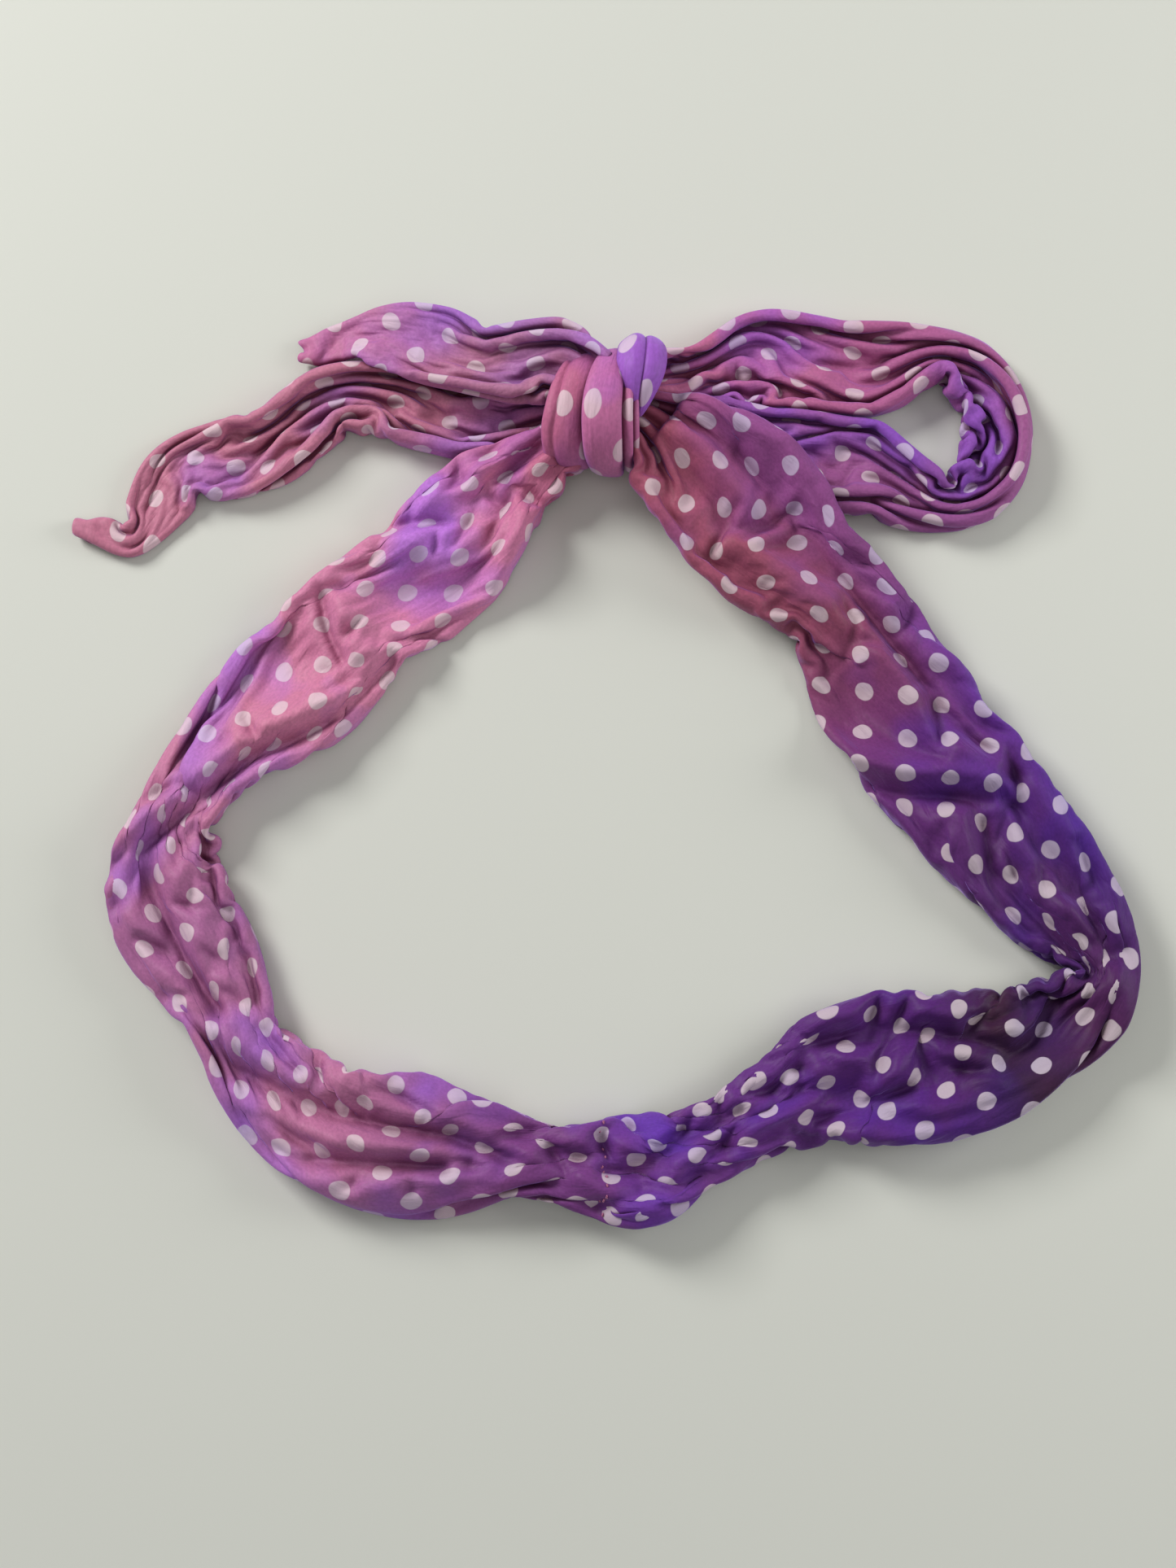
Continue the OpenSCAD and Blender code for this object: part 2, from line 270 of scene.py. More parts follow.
CREASES = [
    [[-47, 51, 2], [-40, 52, 4], [-31, 52, 5]],
    [[-60, 36, 4], [-58.5, 28, 4], [-55, 21, 4]],
    [[-44, 21, 3], [-54, 10, 4], [-64, 4, 4], [-74, 0, 4], [-86, -10, 4], [-97, -20, 4]],
    [[-96, -22, 4], [-93, -32, 4], [-88, -42, 4], [-80, -54, 4]],
    [[-24, 58, 5], [-20, 55, 5], [-18, 60, 6]],
    [[30, 66, 10], [37, 58, 9], [45, 49, 7], [53, 39, 5.5], [61, 29, 4.5], [70, 17, 5], [77, 7, 6],
     [84, 1, 7]],
    [[54, -5, 3], [64, -8, 4], [76, -8.5, 4], [84, -10, 6]],
    [[90, -13, 6], [95, -22, 6], [103, -31, 6], [108, -41, 6]],
    [[83, -14, 4], [84, -24, 4], [94, -35, 4], [104, -46, 4]],
    [[46, -61, 5], [58, -58, 5], [70, -58.5, 5], [84, -61, 5]],
    [[46, -77, 4], [56, -74, 5], [66, -70, 6]],
    [[-74, -67, 4], [-56, -76, 5], [-44, -78, 5], [-30, -80.5, 5], [-18, -85, 6]],
    [[-60, -85, 4], [-46, -86, 5], [-32, -86.5, 5]],
    [[2, -87, 5], [9, -88, 5], [16, -82, 6], [30, -75, 6]],
    [[20, 62, 11], [26, 55, 9], [28, 50, 8]],
]
SMALL_CREASES = 150
# Where the ring's cloth is pushed together along its length: [x, y, reach, share].
CRUMPLES = [
    [34, 54, 12, 0.14], [78, -12, 15, 0.16], [104, -42, 9, 0.12], [66, -66, 15, 0.2],
    [12, -88, 10, 0.2], [-34, -82, 14, 0.08], [-92, -30, 12, 0.1], [-62, 18, 12, 0.12],
    [-24, 56, 10, 0.1],
]


def catmull_rom(route, per_span=24):
    """Points close together on the Catmull-Rom curve through a route's stations."""
    p = np.array(route, float)
    p = np.vstack([2 * p[0] - p[1], p, 2 * p[-1] - p[-2]])
    t = np.linspace(0, 1, per_span, endpoint=False)[:, None]
    spans = [
        0.5 * (2 * b + (c - a) * t + (2 * a - 5 * b + 4 * c - d) * t**2
               + (3 * b - a - 3 * c + d) * t**3)
        for a, b, c, d in zip(p[:-3], p[1:-2], p[2:-1], p[3:])
    ]
    return np.vstack(spans + [p[-2:-1]])


def resampled(points, axes, spacing):
    """The curve's points at an even spacing along the distance measured on the given columns."""
    steps = np.linalg.norm(np.diff(points[:, axes], axis=0), axis=1)
    distance = np.concatenate([[0], np.cumsum(steps)])
    count = int(round(distance[-1] / spacing)) + 1
    wanted = np.linspace(0, distance[-1], count)
    return np.column_stack([np.interp(wanted, distance, c) for c in points.T])


def smooth_noise(rng, rows, columns, row_cell, column_cell):
    """Smooth random values from -1 to 1 on a grid, with features of the given numbers of cells."""
    coarse = rng.uniform(-1, 1, (int(rows / row_cell) + 3, int(columns / column_cell) + 3))

    def stretch(values, count, cell):
        x = np.arange(count) / cell
        i = x.astype(int)
        t = (x - i)[:, None]
        t = t * t * (3 - 2 * t)
        return values[i] * (1 - t) + values[i + 1] * t

    tall = stretch(coarse, rows, row_cell)
    return stretch(tall.T, columns, column_cell).T


def unit(v):
    return v / np.maximum(np.linalg.norm(v, axis=-1, keepdims=True), 1e-9)


class Strand:
    """A stretch of the strip on its route, with the soft glove round the route that it lies in.
    The glove is first straight, for gathering the rolled cloth, and then follows the route."""

    def __init__(self, name, seed, centre, across, up, half_width, height, turn, cloth_w, cell,
                 edges, slack=1.0, taper=None, crumples=()):
        self.name, self.seed = name, seed
        self.rows, self.columns = len(centre), int(round(cloth_w / cell)) + 1
        self.route = centre, across, up
        self.half_width, self.height, self.turn = half_width, height, turn
        share = np.linspace(0, 1, self.rows)
        self.cloth_w = cloth_w
        self.cell_w = cloth_w / (self.columns - 1) * (taper(share) if taper else np.ones(self.rows))
        self.row_step = cell
        self.slack = slack       # cloth length for each length of route
        self.crumples = crumples
        self.pinned = np.zeros(self.rows, bool)
        self.right, self.left = half_width.copy(), -half_width
        for edge in edges:
            self.reach_edge(np.array(edge, float))

    def reach_edge(self, edge):
        """Widens or narrows the glove's two sides to the edge line, where it passes them."""
        centre, across, _ = self.route
        p, run = edge[:-1], np.diff(edge, axis=0)
        for i in range(self.rows):
            a = across[i, :2]
            away = p - centre[i, :2]
            facing = a[0] * run[:, 1] - a[1] * run[:, 0]
            facing = np.where(np.abs(facing) < 1e-6, 1e-6, facing)
            t = (away[:, 0] * run[:, 1] - away[:, 1] * run[:, 0]) / facing
            u = (away[:, 0] * a[1] - away[:, 1] * a[0]) / facing
            half = self.half_width[i]
            near = t[(u >= 0) & (u <= 1) & (np.abs(t) > 0.5 * half) & (np.abs(t) < 1.5 * half + 1)]
            if (near > 0).any():
                self.right[i] = near[near > 0].min()
            if (near < 0).any():
                self.left[i] = near[near < 0].max()

    def roll_up(self, lane):
        """Sets the strip out straight as a flat roll, its edges turned under, with random folds."""
        rng = np.random.default_rng(self.seed)
        run = np.arange(self.rows) * self.row_step
        zero = np.zeros(self.rows)
        self.centre = np.column_stack([run, zero + lane, zero])
        self.across = np.tile([0.0, 1.0, 0.0], (self.rows, 1))
        self.up = np.tile([0.0, 0.0, 1.0], (self.rows, 1))
        wide = (self.cell_w * (self.columns - 1))[:, None]
        edge = np.minimum(3.0, wide * 0.06)
        self.roll_half = np.maximum((wide * 1.25 - 2 * edge) / 4, self.half_width[:, None])[:, 0]
        half = self.roll_half[:, None]
        around = 4 * half + 2 * edge
        q = np.linspace(-0.5, 0.5, self.columns)[None, :]
        s = (around / 2 + q * wide + self.turn[:, None] / 360 * around) % around
        side = np.where(s < half, s, np.where(
            s < half + edge, half, np.where(
                s < 3 * half + edge, 2 * half + edge - s, np.where(
                    s < 3 * half + 2 * edge, -half, s - around))))
        above = np.clip(np.where(s < around / 2, s - half, around - half - s), 0, edge) / edge
        self.upper = above > 0.99
        folds = (smooth_noise(rng, self.rows, self.columns, 24, 5) * 1.8
                 + smooth_noise(rng, self.rows, self.columns, 10, 8) * 1.2
                 + smooth_noise(rng, self.rows, self.columns, 5, 4) * 0.5)
        arch = np.minimum(half * 0.25, 3.5) * np.cos(side / half * math.pi / 2)
        rise = 0.6 + above * (2.2 + arch + folds * np.minimum(half / 16, 1))
        self.grid = np.stack([np.repeat(run[:, None], self.columns, 1), side + lane,
                              np.maximum(rise, 0.5)], -1)
        gathered = np.zeros(self.rows) + 1 - 1 / self.slack
        for x, y, reach, share in self.crumples:
            away = np.linalg.norm(self.route[0][:, :2] - np.array([x, y]), axis=1) / reach
            gathered += share * np.exp(-away**2)
        gathered *= (1 - 1 / self.slack) / gathered.mean()
        self.pushed = np.concatenate([[0], np.cumsum(self.row_step * (1 - gathered))[:-1]])

    def lay_on_route(self):
        """Carries the gathered cloth from the straight glove over to its route."""
        centre, across, up = self.route
        rows = np.arange(self.rows)
        place = np.clip(self.grid[..., 0] / (self.row_step / self.slack), 0, self.rows - 1)
        side = self.grid[..., 1] - self.centre[0, 1]
        rise = self.grid[..., 2]

        def at(values):
            return np.stack([np.interp(place, rows, c) for c in values.T], -1)

        self.grid = (at(centre) + unit(at(across)) * side[..., None]
                     + unit(at(up)) * rise[..., None])
        self.centre, self.across, self.up = centre, across, up


def flat_strand(name, seed, route, edges, slack, **kw):
    """A strand that lies on the table."""
    p = resampled(catmull_rom(route), [0, 1, 2], CELL / slack)
    flat = np.column_stack([p[:, 0], p[:, 1], np.zeros(len(p))])
    along = unit(np.gradient(flat, axis=0))
    along = unit(np.stack([np.convolve(np.pad(c, 4, mode="edge"), np.ones(9) / 9, "valid")
                           for c in along.T], -1))
    across = np.column_stack([along[:, 1], -along[:, 0], np.zeros(len(p))])
    up = np.tile([0.0, 0.0, 1.0], (len(p), 1))
    return Strand(name, seed, p[:, :3], across, up, p[:, 3], p[:, 4], p[:, 5], STRIP_W, CELL,
                  edges, slack, **kw)


def knot_strand(name, seed, route, folds):
    """A folded strand over the knot, with its outside facing away from the knot's middle."""
    p = resampled(catmull_rom(route), [0, 1, 2], FINE_CELL)
    centre = p[:, :3]
    along = unit(np.gradient(centre, axis=0))
    out = centre - KNOT_MIDDLE
    out[:, 0] = 0
    out -= along * (out * along).sum(1, keepdims=True)
    out = unit(out)
    across = np.cross(along, out)
    section = catmull_rom(folds, 8)
    length = np.linalg.norm(np.diff(section, axis=0), axis=1).sum()
    strand = Strand(name, seed, centre, across, out, p[:, 3], p[:, 4], np.zeros(len(p)),
                    length, FINE_CELL, [])
    section = resampled(section, [0, 1], length / (strand.columns - 1))
    wide = np.abs(section[:, 0]).max()
    high = section[:, 1].max()
    rng = np.random.default_rng(seed)
    rough = smooth_noise(rng, strand.rows, strand.columns, 16, 7)
    drift = smooth_noise(rng, strand.rows, 8, 22, 8)[:, :1]
    side = section[None, :, 0] / wide * strand.half_width[:, None] + drift * 0.5
    rise = section[None, :, 1] / high * strand.height[:, None]
    rise = rise * (1 + 0.10 * rough) + 0.15 * rough
    strand.grid = (centre[:, None] + across[:, None] * side[..., None]
                   + out[:, None] * rise[..., None])
    strand.grid[..., 2] = np.maximum(strand.grid[..., 2], 0.6)
    strand.centre, strand.across, strand.up = centre, across, out
    return strand


# ---------------------------------------------------------------------------
# Settling the cloth: keeps its lengths, keeps its layers apart and lets it lie down.
# ---------------------------------------------------------------------------
# Resistance to bending: how many cells apart, then the least length in cells and how firmly it
# is held, along the strip and across it.
STIFFNESS = [[2, 1.8, 0.14, 1.6, 0.12], [4, 3.0, 0.03, 2.2, 0.02]]


def satisfy(a, b, wa, wb, rest, k_short, k_long):
    """Moves points a and b towards their rest length, by a share if too short or too long."""
    d = b - a
    length = np.sqrt((d * d).sum(-1, keepdims=True)) + 1e-9
    error = (length - rest) / length
    move = d * (error * np.where(error > 0, k_long, k_short) / (wa + wb + 1e-9))
    a += wa * move
    b -= wb * move


def along_axis(grid, weight, rest, axis, k_short, k_long, hop=1):
    """Holds grid neighbours that are hop apart along an axis to their rest length."""
    g = grid if axis == 0 else grid.swapaxes(0, 1)
    w = weight if axis == 0 else weight.swapaxes(0, 1)
    r = rest if axis == 0 else rest.swapaxes(0, 1)
    for phase in range(2 * hop):
        first = np.arange(phase, g.shape[0] - hop, 2 * hop)
        if not len(first):
            continue
        a, b = g[first], g[first + hop]
        satisfy(a, b, w[first], w[first + hop], r[first], k_short, k_long)
        g[first], g[first + hop] = a, b


def diagonals(grid, weight, rest, stiffness):
    """Holds the diagonals of the grid's cells to their rest length, against shear."""
    for start in (0, 1):
        for low, high in ((slice(None, -1), slice(1, None)), (slice(1, None), slice(None, -1))):
            a = grid[start:-1:2, low]
            b = grid[start + 1::2, high][:len(a)]
            wa = weight[start:-1:2, low]
            wb = weight[start + 1::2, high][:len(a)]
            r = rest[start:-1:2][:len(a)]
            satisfy(a, b, wa, wb, r, stiffness, stiffness)


def near_pairs(x, reach, strand_id, row, column):
    """Pairs of points closer than reach that aren't neighbours in the same cloth."""
    cell = np.floor((x - x.min(0)) / reach).astype(np.int64) + 1
    size = cell.max(0) + 2
    key = (cell[:, 0] * size[1] + cell[:, 1]) * size[2] + cell[:, 2]
    order = np.argsort(key, kind="stable")
    keys = key[order]
    firsts, seconds = [], []
    offsets = [(i, j, k) for i in (-1, 0, 1) for j in (-1, 0, 1) for k in (-1, 0, 1)
               if (i, j, k) >= (0, 0, 0)]
    everyone = np.arange(len(x))
    for i, j, k in offsets:
        target = key + (i * size[1] + j) * size[2] + k
        low = np.searchsorted(keys, target, "left")
        count = np.searchsorted(keys, target, "right") - low
        for n in range(int(count.max())):
            mask = count > n
            a = everyone[mask]
            b = order[low[mask] + n]
            keep = a < b if (i, j, k) == (0, 0, 0) else np.ones(len(a), bool)
            firsts.append(a[keep])
            seconds.append(b[keep])
    a, b = np.concatenate(firsts), np.concatenate(seconds)
    close = ((x[a] - x[b]) ** 2).sum(1) < reach**2
    a, b = a[close], b[close]
    same = ((strand_id[a] == strand_id[b]) & (np.abs(row[a] - row[b]) <= 2)
            & (np.abs(column[a] - column[b]) <= 2))
    return a[~same], b[~same]


FIELD_X, FIELD_Y, FIELD_STEP = 120, 105, 0.5      # half its size, and its spacing


def field(lines, slope, sign):
    """A table of heights, of roofs over the lines (sign 1) or gutters under them (sign -1)."""
    x, y = np.meshgrid(np.arange(-FIELD_X, FIELD_X, FIELD_STEP),
                       np.arange(-FIELD_Y, FIELD_Y, FIELD_STEP), indexing="ij")
    best = np.full(x.shape, -99.0)
    for line in lines:
        for (x0, y0, z0), (x1, y1, z1) in zip(line[:-1], line[1:]):
            dx, dy = x1 - x0, y1 - y0
            t = np.clip(((x - x0) * dx + (y - y0) * dy) / (dx * dx + dy * dy), 0, 1)
            away = np.hypot(x - x0 - t * dx, y - y0 - t * dy)
            best = np.maximum(best, sign * (z0 + t * (z1 - z0)) - slope * away)
    return sign * best


def small_creases(strand, count):
    """Short random creases, mostly along the strand."""
    rng = np.random.default_rng(strand.seed + 1)
    centre, across, _ = strand.route
    lines = []
    for _ in range(count):
        i = int(rng.uniform(0.03, 0.97) * strand.rows)
        a = across[i, :2]
        along = np.array([-a[1], a[0]])
        middle = centre[i, :2] + a * rng.uniform(-0.9, 0.9) * strand.half_width[i]
        angle = rng.normal(0, 0.55)
        half = (along * math.cos(angle) + a * math.sin(angle)) * rng.uniform(3, 9)
        low = centre[i, 2] + rng.uniform(4.0, 6.5)
        bend = a * rng.uniform(-1.5, 1.5)
        lines.append([[*(middle - half), low + 2.5], [*(middle + bend), low],
                      [*(middle + half), low + 2.5]])
    return lines


def looked_up(table, points):
    """The heights of a field at the points."""
    i = np.clip(((points[..., 0] + FIELD_X) / FIELD_STEP).round().astype(int),
                0, table.shape[0] - 1)
    j = np.clip(((points[..., 1] + FIELD_Y) / FIELD_STEP).round().astype(int),
                0, table.shape[1] - 1)
    return table[i, j]


def settle(strands, rounds, fall, gather=0, hold=0.0, roofs=None, gutters=None):
    """Moves the strands' grid points until the cloth keeps its own lengths and lies still.

    The gloves narrow from the roll's width over the first rounds, as many as gather says. Each
    round, the points fall, and hold draws them back by a share towards where they began."""
    sizes = [s.rows * s.columns for s in strands]
    ends = np.cumsum(sizes)
    x = np.concatenate([s.grid.reshape(-1, 3) for s in strands])
    weight = np.concatenate([
        np.repeat(np.where(s.pinned & (gather == 0), 0.0, 1.0), s.columns)
        for s in strands])[:, None]
    strand_id = np.repeat(np.arange(len(strands)), sizes)
    row = np.concatenate([np.repeat(np.arange(s.rows), s.columns) for s in strands])
    column = np.concatenate([np.tile(np.arange(s.columns), s.rows) for s in strands])
    home = x.copy()
    before = x.copy()
    grids, weights = [], []
    for s, end, size in zip(strands, ends, sizes):
        grids.append(x[end - size:end].reshape(s.rows, s.columns, 3))
        weights.append(weight[end - size:end].reshape(s.rows, s.columns, 1))
    pairs = None
    for n in range(rounds):
        done = min(1.0, n / gather) if gather else 1.0
        step = np.clip((x - before) * DAMPING, -MAX_STEP, MAX_STEP)
        before[:] = x
        x += weight * (step + np.array([0, 0, -fall]))
        if hold:
            x += weight * (home - x) * hold
        for s, g, w in zip(strands, grids, weights):
            cell_w = s.cell_w[:, None, None]
            ones = np.ones((s.rows, s.columns, 1))
            diag = np.sqrt(cell_w**2 + s.row_step**2) * np.ones((s.rows, s.columns - 1, 1))
            for _ in range(2):
                along_axis(g, w, ones * s.row_step, 0, 0.8, 0.9 if gather else 0.5)
                along_axis(g, w, cell_w * ones, 1, 0.8, 0.9)
            diagonals(g, w, diag, 0.15)
            for hop, share_row, k_row, share_cell, k_cell in STIFFNESS:
                along_axis(g, w, ones * s.row_step * share_row, 0, k_row, 0.0, hop)
                along_axis(g, w, cell_w * ones * share_cell, 1, k_cell, 0.0, hop)
            if gather:
                target = (1 - done) * s.row_step * np.arange(s.rows) + done * s.pushed
                g[..., 0] += 0.3 * (target - g[..., 0].mean(1))[:, None]
        if n % PAIRS_EVERY == 0:
            pairs = near_pairs(x, NEAR, strand_id, row, column)
        a, b = pairs
        d = x[b] - x[a]
        length = np.sqrt((d * d).sum(1)) + 1e-9
        push = np.maximum(GAP - length, 0) / length * 0.5
        move = d * push[:, None]
        touched = (push > 0).astype(float)
        total = np.zeros_like(x)
        for c in range(3):
            total[:, c] = (np.bincount(b, move[:, c], len(x)) - np.bincount(a, move[:, c], len(x)))
        number = np.bincount(a, touched, len(x)) + np.bincount(b, touched, len(x))
        x += weight * total / np.maximum(number, 1)[:, None] * 1.6
        for s, g, w in zip(strands, grids, weights):
            rel = g - s.centre[:, None, :]
            side = (rel * s.across[:, None, :]).sum(-1)
            rise = (rel * s.up[:, None, :]).sum(-1)
            spare = 0.0 if gather else SPARE
            right = (s.right * done + s.roll_half * (1 - done))[:, None] + spare
            left = (s.left * done - s.roll_half * (1 - done))[:, None] - spare
            top = (s.height + (8 * (1 - done) if gather else 3))[:, None]
            over = side - np.clip(side, left, right)
            high = np.maximum(rise - top, 0)
            low = np.minimum(rise - CLOTH_T / 2, 0)
            g -= w * (s.across[:, None, :] * over[..., None] * 0.7
                      + s.up[:, None, :] * (high * 0.5 + low * 0.8)[..., None])
            if roofs is not None and s.crumples:
                share = min(1.0, 1.4 * n / rounds)
                gutter = looked_up(gutters, g)
                low_roof = gutter + 0.5
                lift = np.minimum(looked_up(roofs, g) * share, low_roof) - g[..., 2]
                sink = gutter + GUTTER_FREE * (1 - share) - g[..., 2]
                g[..., 2] += w[..., 0] * s.upper * 0.5 * (np.maximum(lift, 0) + np.minimum(sink, 0))
        floor = CLOTH_T / 2 + 0.05
        x[:, 2] = np.where(weight[:, 0] > 0, np.maximum(x[:, 2], floor), x[:, 2])
    for s, g in zip(strands, grids):
        s.grid = g.copy()


# ---------------------------------------------------------------------------
# Materials
# ---------------------------------------------------------------------------
# The cloth's colour along the strip, 0 to 255, at distances in millimetres along it: the ring
# first, then the loop, the long tail, the short tail and the turns over the knot. The run is partly
# the cloth's own colour and partly painted light: the darker, more violet stretch on the ring's
# lower and right side (about 270 to 530 mm) and the violet tuck (from 1405 mm) are painted shade
# and painted violet light, and the dark band at about 393 mm is painted shade at the folded corner.
TONE_RUN = 1500.0
PITCH, SPOT_R, SPOT_EDGE = 10.0, 2.15, 0.12     # the printed spots
TONES_AND_PAINTED_LIGHT = [
    [0, (190, 92, 118)], [45, (220, 134, 176)], [110, (215, 132, 164)],
    [170, (178, 108, 158)], [225, (198, 122, 162)], [270, (130, 66, 134)], [325, (106, 48, 134)],
    [375, (88, 34, 118)], [393, (60, 24, 50)], [412, (84, 32, 86)], [450, (90, 40, 112)],
    [490, (112, 50, 124)], [530, (156, 78, 104)], [595, (182, 92, 118)], [625, (204, 112, 150)],
    [700, (186, 102, 154)], [760, (156, 86, 150)], [890, (198, 112, 156)], [930, (204, 125, 154)],
    [1060, (202, 124, 150)], [1100, (188, 122, 156)], [1170, (204, 115, 164)],
    [1296, (202, 113, 164)], [1302, (198, 108, 146)], [1398, (196, 106, 146)],
    [1405, (166, 98, 205)], [1500, (166, 98, 205)],
]


def linear(r, g, b):
    """A colour given in 0 to 255 sRGB, as linear RGBA."""
    def channel(v):
        v /= 255
        return v / 12.92 if v <= 0.04045 else ((v + 0.055) / 1.055) ** 2.4
    return (channel(r), channel(g), channel(b), 1.0)


class Nodes:
    """A few short ways to add nodes to a material."""

    def __init__(self, name):
        self.material = bpy.data.materials.new(name)
        self.material.use_nodes = True
        self.tree = self.material.node_tree
        self.shader = self.tree.nodes["Principled BSDF"]

    def add(self, kind, inputs=None, **settings):
        node = self.tree.nodes.new(kind)
        for key, value in settings.items():
            setattr(node, key, value)
        for key, value in (inputs or {}).items():
            if hasattr(value, "is_output"):
                self.tree.links.new(value, node.inputs[key])
            else:
                node.inputs[key].default_value = value
        return node.outputs

    def math(self, operation, *values):
        return self.add("ShaderNodeMath", dict(enumerate(values)), operation=operation)[0]

    def vector(self, operation, *values):
        out = self.add("ShaderNodeVectorMath", dict(enumerate(values)), operation=operation)
        return out["Value"] if operation == "LENGTH" else out["Vector"]

    def mix(self, share, a, b):
        return self.add("ShaderNodeMix", {0: share, 6: a, 7: b}, data_type="RGBA")[2]

    def link(self, value, socket):
        self.tree.links.new(value, self.shader.inputs[socket])


def cloth_material(name):
    """Light satin-faced cotton with printed spots, a fine weave and small creases. Its colour also
    holds painted violet light and painted shade, and painted shade in its creases.
    """
    n = Nodes(name)
    cloth = n.add("ShaderNodeUVMap", uv_map="Cloth")[0]      # metres on the flat strip
    wander = n.add("ShaderNodeTexNoise", {"Vector": cloth, "Scale": 260.0, "Detail": 2.0})[1]
    wander = n.vector("MULTIPLY", n.vector("SUBTRACT", wander, (0.5, 0.5, 0.5)),
                      (0.0006, 0.0006, 0.0))
    place = n.vector("ADD", cloth, wander)
    turned = n.add("ShaderNodeMapping", {
        "Vector": place, "Rotation": (0, 0, math.radians(42)),
        "Scale": (1 / (PITCH * MM), 1 / (PITCH * MM), 0)})[0]
    cell = n.vector("SUBTRACT", n.vector("FRACTION", turned), (0.5, 0.5, 0.0))
    away = n.vector("LENGTH", cell)
    spot = n.add("ShaderNodeMapRange", {
        "Value": away, "From Min": (SPOT_R - SPOT_EDGE) / PITCH,
        "From Max": (SPOT_R + SPOT_EDGE) / PITCH,
        "To Min": 1.0, "To Max": 0.0}, interpolation_type="SMOOTHSTEP")[0]

    # Share of the violet tint: random patches, partly uneven cloth tone and partly painted violet
    # light.
    shade = n.add("ShaderNodeTexNoise", {"Vector": cloth, "Scale": 28.0, "Detail": 3.0})[0]
    shade = n.add("ShaderNodeMapRange", {
        "Value": shade, "From Min": 0.48, "From Max": 0.66, "To Min": 0.0, "To Max": 1.0})[0]
    along, over = n.add("ShaderNodeSeparateXYZ", {0: cloth})[:2]
    # Painted violet light: the right arm's outside lanes are made more violet, where violet light
    # fell on that side.
    bounds = [(along, 0.415, 0.455), (along, 0.605, 0.575), (over, -0.010, -0.020)]
    arm, end, violet_lit_side = [n.add("ShaderNodeMapRange", {
        "Value": value, "From Min": low, "From Max": high, "To Min": 0.0, "To Max": 1.0})[0]
        for value, low, high in bounds]
    violet_lit_side = n.math("MULTIPLY", n.math("MULTIPLY", arm, end), violet_lit_side)
    shade = n.math("MAXIMUM", shade, violet_lit_side)
    run = n.math("DIVIDE", along, TONE_RUN * MM)
    ramp = n.tree.nodes.new("ShaderNodeValToRGB")
    n.tree.links.new(run, ramp.inputs[0])
    marks = ramp.color_ramp.elements
    marks.remove(marks[1])
    for i, (at, rgb) in enumerate(TONES_AND_PAINTED_LIGHT):
        mark = marks.new(at / TONE_RUN) if i else marks[0]
        mark.color = linear(*rgb)
    # A violet tint multiplied over the colour run by that share: painted violet light, partly
    # random tone.
    plum_and_violet_light = n.add("ShaderNodeMix", {0: 1.0, 6: ramp.outputs[0], 7: (0.80, 0.86, 1.75, 1)},
                 data_type="RGBA", blend_type="MULTIPLY")[2]
    rose_and_painted_light = n.mix(shade, ramp.outputs[0], plum_and_violet_light)
    thread = n.add("ShaderNodeTexNoise", {"Vector": cloth, "Scale": 1400.0, "Detail": 2.0})[0]
    thread = n.add("ShaderNodeMapRange", {
        "Value": thread, "From Min": 0.3, "From Max": 0.7, "To Min": 0.86, "To Max": 1.06})[0]
    rose_and_painted_light = n.add("ShaderNodeMix", {0: 1.0, 6: rose_and_painted_light, 7: n.add(
        "ShaderNodeCombineColor", {0: thread, 1: thread, 2: thread})[0]},
        data_type="RGBA", blend_type="MULTIPLY")[2]
    # The spots turn lilac by the same share and take a part of the cloth's colour, so they carry
    # its painted violet light and shade too.
    white = n.mix(shade, linear(238, 222, 226), linear(222, 208, 236))
    white = n.mix(0.36, white, rose_and_painted_light)
    # Painted shade: creases and recesses within 5 mm are darkened towards dark maroon by an
    # ambient-occlusion term.
    crease_shade_share = n.add("ShaderNodeAmbientOcclusion", {"Distance": 5.0 * MM}, samples=8)[1]
    crease_shade_share = n.add("ShaderNodeMapRange", {
        "Value": crease_shade_share, "From Min": 0.35, "From Max": 0.85, "To Min": 1.0, "To Max": 0.0})[0]
    printed = n.mix(spot, rose_and_painted_light, white)
    painted_crease_shade = n.add("ShaderNodeMix", {0: 1.0, 6: printed, 7: (0.36, 0.22, 0.26, 1)},
                 data_type="RGBA", blend_type="MULTIPLY")[2]
    n.link(n.mix(crease_shade_share, printed, painted_crease_shade), "Base Color")

    rough = n.add("ShaderNodeMapRange", {"Value": shade, "To Min": 0.56, "To Max": 0.70})[0]
    n.link(rough, "Roughness")

